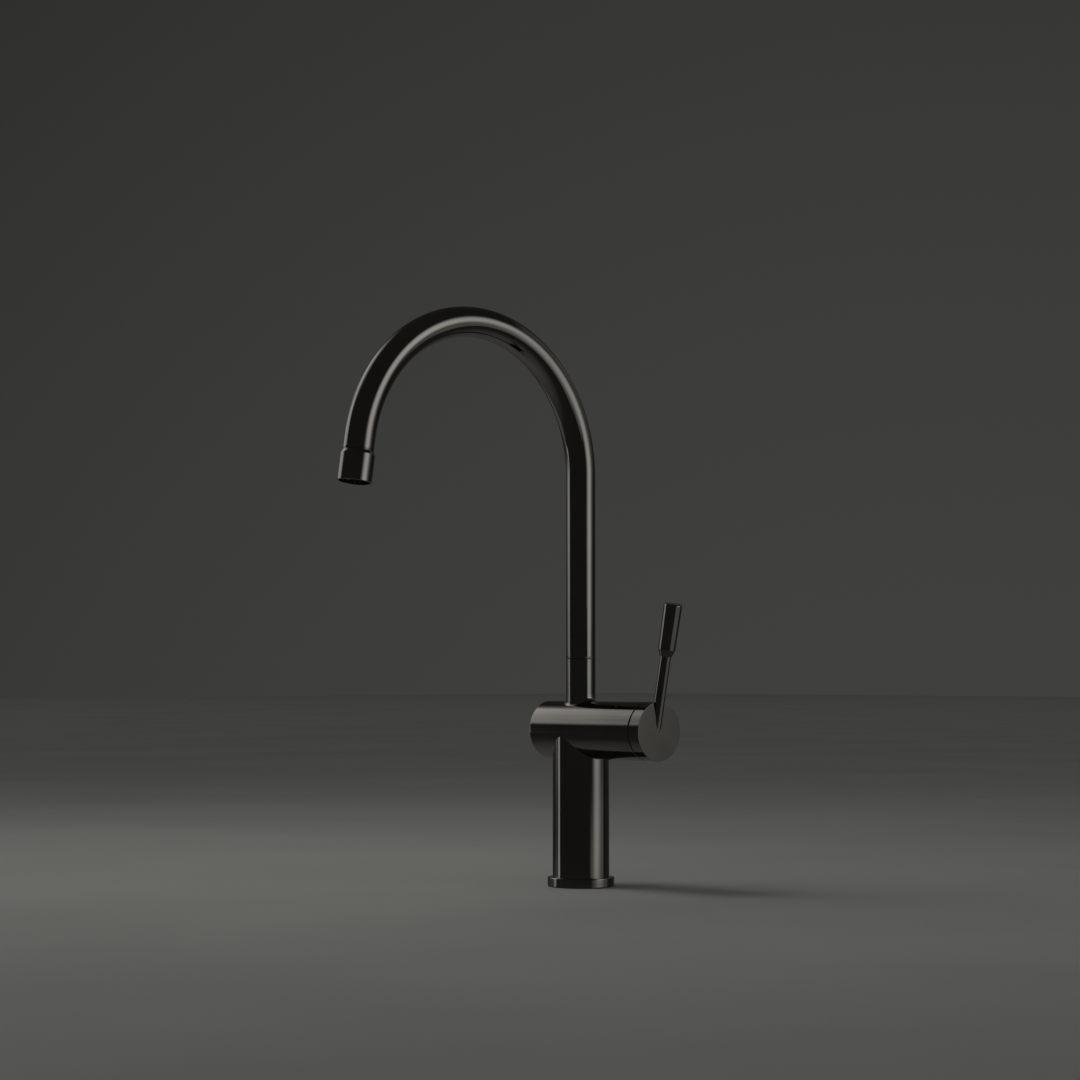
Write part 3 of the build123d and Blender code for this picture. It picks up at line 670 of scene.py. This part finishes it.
barrel = worked(
    new_object("barrel_and_neck", barrel_and_neck_mesh()),
    ("DIFFERENCE", bar_mesh(CARTRIDGE_BORE_R, barrel_low.x - PAST, barrel_high.x + PAST, ALONG_BARREL)),
    ("DIFFERENCE", bar_mesh(NECK_BORE_R, barrel_z, barrel_high.z + PAST)),
    ("DIFFERENCE", bar_mesh(PIPE_HOLE_R, barrel_low.z - PAST, barrel_z)),
    ("DIFFERENCE", bar_mesh(LOCK_SCREW_R, 0, 2 * neck_r, BACKWARDS, SCREW_HOLE_SIDES)),
)
seat(barrel, plating, "dark_chrome", "tap_body", "valve_barrel")


# End plug
# A turned and plated disc, pressed flush into the end of the barrel away from the lever.
# A hairline joint shows round it.
PLUG_EDGE = 0.00025

plug_low, plug_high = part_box("barrel_end_plug")
plug = turned_mesh(rounded([
    (0, plug_low.x, 0),
    (plug_high.y, plug_low.x, PLUG_EDGE),
    (plug_high.y, plug_high.x, 0),
    (0, plug_high.x, 0),
]), ALONG_BARREL)
seat(new_object("end_plug", plug), plating, "dark_chrome", "tap_body", "barrel_end_plug")


# Valve core
# Brass bar, bored with the waterways and brazed into the barrel. The cartridge stands on
# its turned face.
lying_brass = machined(
    "turned_brass_lying", BRASS, BRASS_DARK, roughness=0.3, lines=400.0, lie=(1, 0.05, 0.05))
dress(lying_brass, "valve_core")


# Swivel
# The spout's stem turns in the brass liner of the neck on two plastic slide rings and seals
# on two O-rings. A washer fills the seam, and a steel grub screw stops the stem from lifting.
NATURAL_PLASTIC = (0.80, 0.79, 0.74, 1)
NATURAL_PLASTIC_WORN = (0.74, 0.73, 0.68, 1)
BLACK_PLASTIC = (0.012, 0.012, 0.012, 1)
BLACK_PLASTIC_PALE = (0.02, 0.02, 0.02, 1)
STEEL = (0.55, 0.55, 0.56, 1)
STEEL_DARK = (0.46, 0.46, 0.47, 1)

white_plastic = moulded(
    "slide_plastic", NATURAL_PLASTIC_WORN, NATURAL_PLASTIC, roughness=0.4, speckle=600.0, depth=0.000008)
black_plastic = moulded(
    "seam_plastic", BLACK_PLASTIC, BLACK_PLASTIC_PALE, roughness=0.45, speckle=800.0, depth=0.00001)
steel = machined("bright_steel", STEEL, STEEL_DARK, roughness=0.3, lines=700.0, lie=(1, 1, 0.08))
dress(white_plastic, "slide_rings")
dress(rubber, "stem_o_rings")
dress(black_plastic, "swivel_washer")
dress(steel, "spout_grub_screw")


# Gooseneck
# A plated steel tube: straight up from the neck, bent in one round sweep, with a short
# straight end that carries the nozzle. Geometry Nodes run it along that path.
GOOSENECK = {
    "Foot Height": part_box("spout_tube")[0].z,
    "Bend Height": 0.304,
    "Bend Radius": 0.1065,
    "Bend Sweep": math.radians(171.3),
    "Straight End": 0.0092,
    "Tube Radius": neck_r,
    "Rings": 220,
    "Sides": 128,
}
GOOSENECK_WALL = 0.0015
GOOSENECK_EDGE = 0.00003
GOOSENECK_RIM = math.radians(60)    # only the tube's two ends are folded more sharply


def new_tree(name, sizes):
    """A Geometry Nodes tree with these named inputs, its input node and its output node."""
    tree = bpy.data.node_groups.new(name, "GeometryNodeTree")
    for label, value in sizes.items():
        kind = "NodeSocketInt" if isinstance(value, int) else "NodeSocketFloat"
        tree.interface.new_socket(label, in_out="INPUT", socket_type=kind)
    tree.interface.new_socket("Material", in_out="INPUT", socket_type="NodeSocketMaterial")
    tree.interface.new_socket("Geometry", in_out="OUTPUT", socket_type="NodeSocketGeometry")
    return tree, tree.nodes.new("NodeGroupInput").outputs, tree.nodes.new("NodeGroupOutput").inputs


def sum_node(tree, operation, *values):
    """One step of arithmetic on numbers or sockets."""
    node = tree.nodes.new("ShaderNodeMath")
    node.operation = operation
    for socket, value in zip(node.inputs, values):
        if isinstance(value, (int, float)):
            socket.default_value = value
        else:
            tree.links.new(value, socket)
    return node.outputs[0]


def end_tree(tree, geometry, sizes, outlet):
    """The last steps of each tree: real faces instead of instances, and the material."""
    real = tree.nodes.new("GeometryNodeRealizeInstances")
    paint = tree.nodes.new("GeometryNodeSetMaterial")
    tree.links.new(geometry, real.inputs["Geometry"])
    tree.links.new(real.outputs["Geometry"], paint.inputs["Geometry"])
    tree.links.new(sizes["Material"], paint.inputs["Material"])
    tree.links.new(paint.outputs["Geometry"], outlet["Geometry"])


def grown(name, tree, sizes, material):
    """The plain mesh object that a tree makes of these sizes."""
    holder = new_object(name + "_grower", bmesh.new())
    growth = holder.modifiers.new(name, "NODES")
    growth.node_group = tree
    wanted = {**sizes, "Material": material}
    for item in tree.interface.items_tree:
        if item.in_out == "INPUT":
            growth[item.identifier] = wanted[item.name]
    evaluated = holder.evaluated_get(bpy.context.evaluated_depsgraph_get())
    data = bpy.data.meshes.new_from_object(evaluated)
    data.name = name
    made = bpy.data.objects.new(name, data)
    bpy.context.scene.collection.objects.link(made)
    holder.modifiers.remove(growth)
    bpy.data.objects.remove(holder)
    return made


def gooseneck_tree():
    tree, size, outlet = new_tree("gooseneck", GOOSENECK)
    bend_r, sweep = size["Bend Radius"], size["Bend Sweep"]
    straight = sum_node(tree, "SUBTRACT", size["Bend Height"], size["Foot Height"])
    to_tail = sum_node(tree, "MULTIPLY_ADD", bend_r, sweep, straight)
    length = sum_node(tree, "ADD", to_tail, size["Straight End"])

    line = tree.nodes.new("GeometryNodeCurvePrimitiveLine")
    rings = tree.nodes.new("GeometryNodeResampleCurve")
    share = tree.nodes.new("GeometryNodeSplineParameter").outputs["Factor"]
    tree.links.new(line.outputs["Curve"], rings.inputs["Curve"])
    tree.links.new(size["Rings"], rings.inputs["Count"])

    along = sum_node(tree, "MULTIPLY", share, length)
    rise = sum_node(tree, "MINIMUM", along, straight)
    past_straight = sum_node(tree, "SUBTRACT", along, rise)
    turned_by = sum_node(tree, "MINIMUM", sum_node(tree, "DIVIDE", past_straight, bend_r), sweep)
    tail = sum_node(tree, "MAXIMUM", sum_node(tree, "SUBTRACT", along, to_tail), 0.0)
    cosine = sum_node(tree, "COSINE", turned_by)
    sine = sum_node(tree, "SINE", turned_by)
    bend_y = sum_node(tree, "MULTIPLY", bend_r, sum_node(tree, "SUBTRACT", cosine, 1.0))
    y = sum_node(tree, "SUBTRACT", bend_y, sum_node(tree, "MULTIPLY", tail, sine))
    bend_z = sum_node(tree, "MULTIPLY_ADD", bend_r, sine, sum_node(tree, "ADD", size["Foot Height"], rise))
    z = sum_node(tree, "MULTIPLY_ADD", tail, cosine, bend_z)

    place = tree.nodes.new("ShaderNodeCombineXYZ")
    bent = tree.nodes.new("GeometryNodeSetPosition")
    tree.links.new(y, place.inputs["Y"])
    tree.links.new(z, place.inputs["Z"])
    tree.links.new(rings.outputs["Curve"], bent.inputs["Geometry"])
    tree.links.new(place.outputs["Vector"], bent.inputs["Position"])

    circle = tree.nodes.new("GeometryNodeCurvePrimitiveCircle")
    tree.links.new(size["Sides"], circle.inputs["Resolution"])
    tree.links.new(size["Tube Radius"], circle.inputs["Radius"])
    tube = tree.nodes.new("GeometryNodeCurveToMesh")
    tree.links.new(bent.outputs["Geometry"], tube.inputs["Curve"])
    tree.links.new(circle.outputs["Curve"], tube.inputs["Profile Curve"])
    end_tree(tree, tube.outputs["Mesh"], size, outlet)
    return tree


gooseneck = grown("gooseneck", gooseneck_tree(), GOOSENECK, plating)
skin = bmesh.new()
skin.from_mesh(gooseneck.data)
bmesh.ops.remove_doubles(skin, verts=skin.verts, dist=ON_AXIS)
bmesh.ops.recalc_face_normals(skin, faces=skin.faces)
skin.to_mesh(gooseneck.data)
skin.free()
wall = gooseneck.modifiers.new("wall", "SOLIDIFY")
wall.thickness = GOOSENECK_WALL
wall.offset = -1
rim = gooseneck.modifiers.new("rim", "BEVEL")
rim.width = GOOSENECK_EDGE
rim.segments = 2
rim.limit_method = "ANGLE"
rim.angle_limit = GOOSENECK_RIM
seat(worked(gooseneck), plating, "dark_chrome", "spout", "spout_tube")


# Nozzle
# A turned and plated sleeve on the end of the spout, with a sloped shoulder. It holds the
# brass adapter, the rubber washer and the aerator, and its mouth stands past them.
SEAM = 0.0002
SEAM_EDGE = 0.0001
SHOULDER = 0.0024
SHOULDER_EDGE = 0.0004
NOZZLE_L = 0.0218
NOZZLE_R = 0.01225
NOZZLE_EDGE = 0.00025
MOUTH_WALL = 0.0013
AERATOR_R = 0.01
AERATOR_START = 0.010
AERATOR_END = 0.0175
LEDGE_T = 0.0012
LEDGE_W = 0.0008
LEDGE_EDGE = 0.0001

sweep = GOOSENECK["Bend Sweep"]
flow = Vector((0, -math.sin(sweep), math.cos(sweep)))
spout_end = Vector((0, GOOSENECK["Bend Radius"] * (math.cos(sweep) - 1),
                    GOOSENECK["Bend Height"] + GOOSENECK["Bend Radius"] * math.sin(sweep)))
spout_end += flow * GOOSENECK["Straight End"]
sideways = Vector((1, 0, 0))
ALONG_FLOW = Matrix((sideways, flow.cross(sideways), flow)).transposed().to_4x4()
ALONG_FLOW.translation = spout_end

bore_r = AERATOR_R + FIT
ledge_end = AERATOR_END + LEDGE_T
sleeve = turned_mesh(rounded([
    (neck_r + SEAM, SEAM, SEAM_EDGE),
    (NOZZLE_R, SHOULDER, SHOULDER_EDGE),
    (NOZZLE_R, NOZZLE_L, NOZZLE_EDGE),
    (NOZZLE_R - MOUTH_WALL, NOZZLE_L, NOZZLE_EDGE),
    (NOZZLE_R - MOUTH_WALL, ledge_end, 0),
    (bore_r - LEDGE_W, ledge_end, LEDGE_EDGE),
    (bore_r - LEDGE_W, AERATOR_END, 0),
    (bore_r, AERATOR_END, 0),
    (bore_r, SEAM, 0),
]), ALONG_FLOW)
seat(new_object("nozzle_sleeve", sleeve), plating, "dark_chrome", "spout", "nozzle_housing")
dress(upright_brass, "nozzle_adapter")
dress(rubber, "aerator_washer")
dress(steel, "aerator_screen")


# Aerator
# A moulded grey plastic insert. Its floor is a honeycomb of thin ribs, which Geometry Nodes
# set out, and it lies in the mouth of the nozzle behind a narrow ledge.
HONEYCOMB = {
    "Pitch": 0.0019,
    "Rib": 0.0003,
    "Gap": 0.00001,
    "Depth": 0.003,
    "Reach": 0.0076,
    "Cells": 11,
}
AERATOR_CUP_R = 0.0079
AERATOR_CUP_END = 0.014
AERATOR_RIM_EDGE = 0.0001
HONEYCOMB_SIDES = 6
HONEYCOMB_RING_R = 0.0074
HONEYCOMB_RING_EDGE = 0.0002
HONEYCOMB_SUNK = 0.00025
AERATOR_GREY = (0.20, 0.205, 0.21, 1)
AERATOR_GREY_DARK = (0.16, 0.165, 0.17, 1)


def honeycomb_tree():
    tree, size, outlet = new_tree("honeycomb", HONEYCOMB)
    pitch = size["Pitch"]
    row_step = sum_node(tree, "MULTIPLY", pitch, math.sqrt(3) / 2)
    spans = sum_node(tree, "SUBTRACT", size["Cells"], 1.0)

    lattice = tree.nodes.new("GeometryNodeMeshGrid")
    tree.links.new(sum_node(tree, "MULTIPLY", spans, pitch), lattice.inputs["Size X"])
    tree.links.new(sum_node(tree, "MULTIPLY", spans, row_step), lattice.inputs["Size Y"])
    tree.links.new(size["Cells"], lattice.inputs["Vertices X"])
    tree.links.new(size["Cells"], lattice.inputs["Vertices Y"])

    # Every other row is shifted by half a cell.
    place = tree.nodes.new("ShaderNodeSeparateXYZ")
    tree.links.new(tree.nodes.new("GeometryNodeInputPosition").outputs["Position"], place.inputs["Vector"])
    row = sum_node(tree, "ROUND", sum_node(tree, "DIVIDE", place.outputs["Y"], row_step))
    odd = sum_node(tree, "FLOORED_MODULO", row, 2.0)
    shift = tree.nodes.new("ShaderNodeCombineXYZ")
    tree.links.new(sum_node(tree, "MULTIPLY", sum_node(tree, "MULTIPLY", odd, pitch), 0.5), shift.inputs["X"])
    moved = tree.nodes.new("GeometryNodeSetPosition")
    tree.links.new(lattice.outputs["Mesh"], moved.inputs["Geometry"])
    tree.links.new(shift.outputs["Vector"], moved.inputs["Offset"])

    # Only the cells inside the rim stay.
    distance = tree.nodes.new("ShaderNodeVectorMath")
    distance.operation = "LENGTH"
    tree.links.new(tree.nodes.new("GeometryNodeInputPosition").outputs["Position"], distance.inputs[0])
    outside = tree.nodes.new("FunctionNodeCompare")
    outside.operation = "GREATER_THAN"
    tree.links.new(distance.outputs["Value"], outside.inputs["A"])
    tree.links.new(size["Reach"], outside.inputs["B"])
    trim = tree.nodes.new("GeometryNodeDeleteGeometry")
    tree.links.new(moved.outputs["Geometry"], trim.inputs["Geometry"])
    tree.links.new(outside.outputs["Result"], trim.inputs["Selection"])

    # One cell: a six-sided frame of rib, which just clears its neighbours.
    clear = sum_node(tree, "SUBTRACT", sum_node(tree, "SUBTRACT", pitch, size["Rib"]), size["Gap"])
    path = tree.nodes.new("GeometryNodeCurvePrimitiveCircle")
    path.inputs["Resolution"].default_value = HONEYCOMB_SIDES
    tree.links.new(sum_node(tree, "DIVIDE", clear, math.sqrt(3)), path.inputs["Radius"])
    rib = tree.nodes.new("GeometryNodeCurvePrimitiveQuadrilateral")
    tree.links.new(size["Depth"], rib.inputs["Height"])
    tree.links.new(size["Rib"], rib.inputs["Width"])
    cell = tree.nodes.new("GeometryNodeCurveToMesh")
    tree.links.new(path.outputs["Curve"], cell.inputs["Curve"])
    tree.links.new(rib.outputs["Curve"], cell.inputs["Profile Curve"])

    copies = tree.nodes.new("GeometryNodeInstanceOnPoints")
    copies.inputs["Rotation"].default_value = (0, 0, math.pi / HONEYCOMB_SIDES)
    tree.links.new(trim.outputs["Geometry"], copies.inputs["Points"])
    tree.links.new(cell.outputs["Mesh"], copies.inputs["Instance"])
    end_tree(tree, copies.outputs["Instances"], size, outlet)
    return tree


grey_plastic = moulded(
    "aerator_plastic", AERATOR_GREY_DARK, AERATOR_GREY, roughness=0.4, speckle=900.0, depth=0.000008)
cells = grown("honeycomb", honeycomb_tree(), HONEYCOMB, grey_plastic)
aerator_ring = turned_mesh(rounded([
    (AERATOR_R - FIT, AERATOR_START, 0),
    (AERATOR_R - FIT, AERATOR_END, AERATOR_RIM_EDGE),
    (HONEYCOMB_RING_R, AERATOR_END, HONEYCOMB_RING_EDGE),
    (HONEYCOMB_RING_R, AERATOR_CUP_END, 0),
    (AERATOR_CUP_R, AERATOR_CUP_END, 0),
    (AERATOR_CUP_R, AERATOR_START, 0),
]), ALONG_FLOW)
floor_middle = AERATOR_END - HONEYCOMB_SUNK - HONEYCOMB["Depth"] / 2
cells.data.transform(ALONG_FLOW @ Matrix.Translation((0, 0, floor_middle)))
aerator_ring.from_mesh(cells.data)
bpy.data.objects.remove(cells)
aerator = new_object("aerator_honeycomb", aerator_ring)
seat(aerator, grey_plastic, "grey_plastic", "spout", "aerator_insert")


# Cartridge
# A ceramic disc cartridge: two lapped discs between a plastic base and the plastic carriers
# that the stem moves, in a plastic housing, with rubber seals at its three ports.
CERAMIC = (0.86, 0.83, 0.77, 1)
CERAMIC_SHADE = (0.80, 0.77, 0.70, 1)

ceramic = moulded(
    "lapped_ceramic", CERAMIC_SHADE, CERAMIC, roughness=0.12, speckle=300.0, depth=0.000002)
dress(ceramic, "fixed_ceramic_disc", "moving_ceramic_disc")
dress(white_plastic, "cartridge_base", "cartridge_housing", "stem_carrier", "disc_carrier")
dress(rubber, "port_seals")
dress(steel, "stem_pin", "cartridge_stem")


# Retaining nut and cover ring
# The brass nut clamps the cartridge into the barrel, and a black plastic ring snaps in over
# it. The ring is seen past the cap when the lever is raised.
dress(lying_brass, "retaining_nut")
dress(black_plastic, "cover_ring")


# Lever cap
# The round end of the barrel, past a thin seam: a turned and plated cup, hollowed so that
# it clears the barrel as it tilts. Its hub takes the stem, held by a steel grub screw.
CAP_L = 0.0095
CAP_EDGE = 0.00025
CAP_SEAM_EDGE = 0.00012
FULL_TILT = math.radians(18)
TILT_AIR = 0.0005
CAVITY_SHORT = 0.0001           # the hollow stops this far inside the sphere that the rim swings on
HUB_R = 0.007
HUB_EDGE = 0.0002
HUB_SIDES = 128
STEM_BORE_R = 0.00352
STEM_INTO_CAP = 0.0005
BORE_SIDES = 96
GRUB_SCREW_R = 0.00202
GRUB_SCREW_BACK = 0.0032        # from the cap's seam back to the screw
ROD_R = 0.004
ROD_LEAN = math.radians(11.5)
ROD_FOOT = 0.0009

cap_low, cap_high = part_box("lever_cap")
cap_start = cap_high.x - CAP_L
flow_tilt = next(joint for joint in frame["joints"] if joint["name"] == "flow_tilt")
pivot_x = flow_tilt["pos_m"][0]
pivot = Vector((pivot_x, 0, barrel_z))
rod_sink = ROD_R / math.cos(ROD_LEAN)
ALONG_ROD = Matrix.Translation((cap_high.x - rod_sink, 0, barrel_z)) @ Matrix.Rotation(ROD_LEAN, 4, "Y")


def cap_hollow_mesh():
    """What the barrel's end needs as the cap tilts: a ball about the pivot, cut off flat."""
    reach = math.hypot(cap_start - pivot_x, barrel_r) - CAVITY_SHORT
    steps = TURNED_SIDES // 4
    outline = [
        (reach * math.sin(math.pi * k / steps), -reach * math.cos(math.pi * k / steps))
        for k in range(steps + 1)
    ]
    ball = turned_mesh(outline, Matrix.Translation(pivot) @ ALONG_BARREL.to_3x3().to_4x4())
    face = Vector((math.cos(FULL_TILT), 0, math.sin(FULL_TILT)))
    stop = pivot + face * (barrel_high.x - pivot_x + TILT_AIR)
    cut = bmesh.ops.bisect_plane(
        ball, geom=[*ball.verts, *ball.edges, *ball.faces], plane_co=stop, plane_no=face, clear_outer=True)
    border = [e for e in cut["geom_cut"] if isinstance(e, bmesh.types.BMEdge)]
    bmesh.ops.contextual_create(ball, geom=border)
    bmesh.ops.recalc_face_normals(ball, faces=ball.faces)
    return ball


cap_body = turned_mesh(rounded([
    (0, cap_start, 0),
    (barrel_r, cap_start, CAP_SEAM_EDGE),
    (barrel_r, cap_high.x, CAP_EDGE),
    (0, cap_high.x, 0),
]), ALONG_BARREL)
hub = turned_mesh(rounded([
    (0, cap_low.x, 0),
    (HUB_R, cap_low.x, HUB_EDGE),
    (HUB_R, cap_start + CAP_L / 2, 0),
    (0, cap_start + CAP_L / 2, 0),
]), ALONG_BARREL, HUB_SIDES)
screw_axis = Matrix.Translation((cap_start - GRUB_SCREW_BACK, 0, barrel_z))
stem_bore = bar_mesh(STEM_BORE_R, cap_low.x - PAST, cap_start + STEM_INTO_CAP, ALONG_BARREL, BORE_SIDES)
cap = worked(
    new_object("cap_shell", cap_body),
    ("DIFFERENCE", cap_hollow_mesh()),
    ("UNION", hub),
    ("DIFFERENCE", stem_bore),
    ("DIFFERENCE", bar_mesh(GRUB_SCREW_R, 0, HUB_R + PAST, screw_axis, SCREW_HOLE_SIDES)),
    ("DIFFERENCE", bar_mesh(ROD_R + FIT, ROD_FOOT - FIT, 2 * barrel_r, ALONG_ROD, BORE_SIDES)),
)
seat(cap, plating, "dark_chrome", "lever", "lever_cap")
dress(steel, "lever_grub_screw")


# Lever rod and grip
# A plated steel rod, let into the face of the cap at a slant and brazed, with a thicker
# turned sleeve pressed over its top as the grip.
ROD_TOP = 0.086
ROD_EDGE = 0.0003
GRIP_FROM = 0.0555
GRIP_CONE = 0.005
GRIP_TOP = 0.0938
GRIP_FOOT_R = 0.0045
GRIP_LOW_R = 0.00625
GRIP_TOP_R = 0.00675
GRIP_FOOT_EDGE = 0.0001
GRIP_CONE_EDGE = 0.0006
GRIP_EDGE = 0.001
GRIP_BORE_END = 0.087
GRIP_SIDES = 160

rod = turned_mesh(rounded([
    (0, ROD_FOOT, 0),
    (ROD_R, ROD_FOOT, ROD_EDGE),
    (ROD_R, ROD_TOP, ROD_EDGE),
    (0, ROD_TOP, 0),
]), ALONG_ROD, GRIP_SIDES)
seat(new_object("rod_bar", rod), plating, "dark_chrome", "lever", "lever_rod")

grip = turned_mesh(rounded([
    (ROD_R + FIT, GRIP_FROM, 0),
    (GRIP_FOOT_R, GRIP_FROM, GRIP_FOOT_EDGE),
    (GRIP_LOW_R, GRIP_FROM + GRIP_CONE, GRIP_CONE_EDGE),
    (GRIP_TOP_R, GRIP_TOP, GRIP_EDGE),
    (0, GRIP_TOP, 0),
    (0, GRIP_BORE_END, 0),
    (ROD_R + FIT, GRIP_BORE_END, 0),
]), ALONG_ROD, GRIP_SIDES)
seat(new_object("grip_sleeve", grip), plating, "dark_chrome", "lever", "lever_grip")
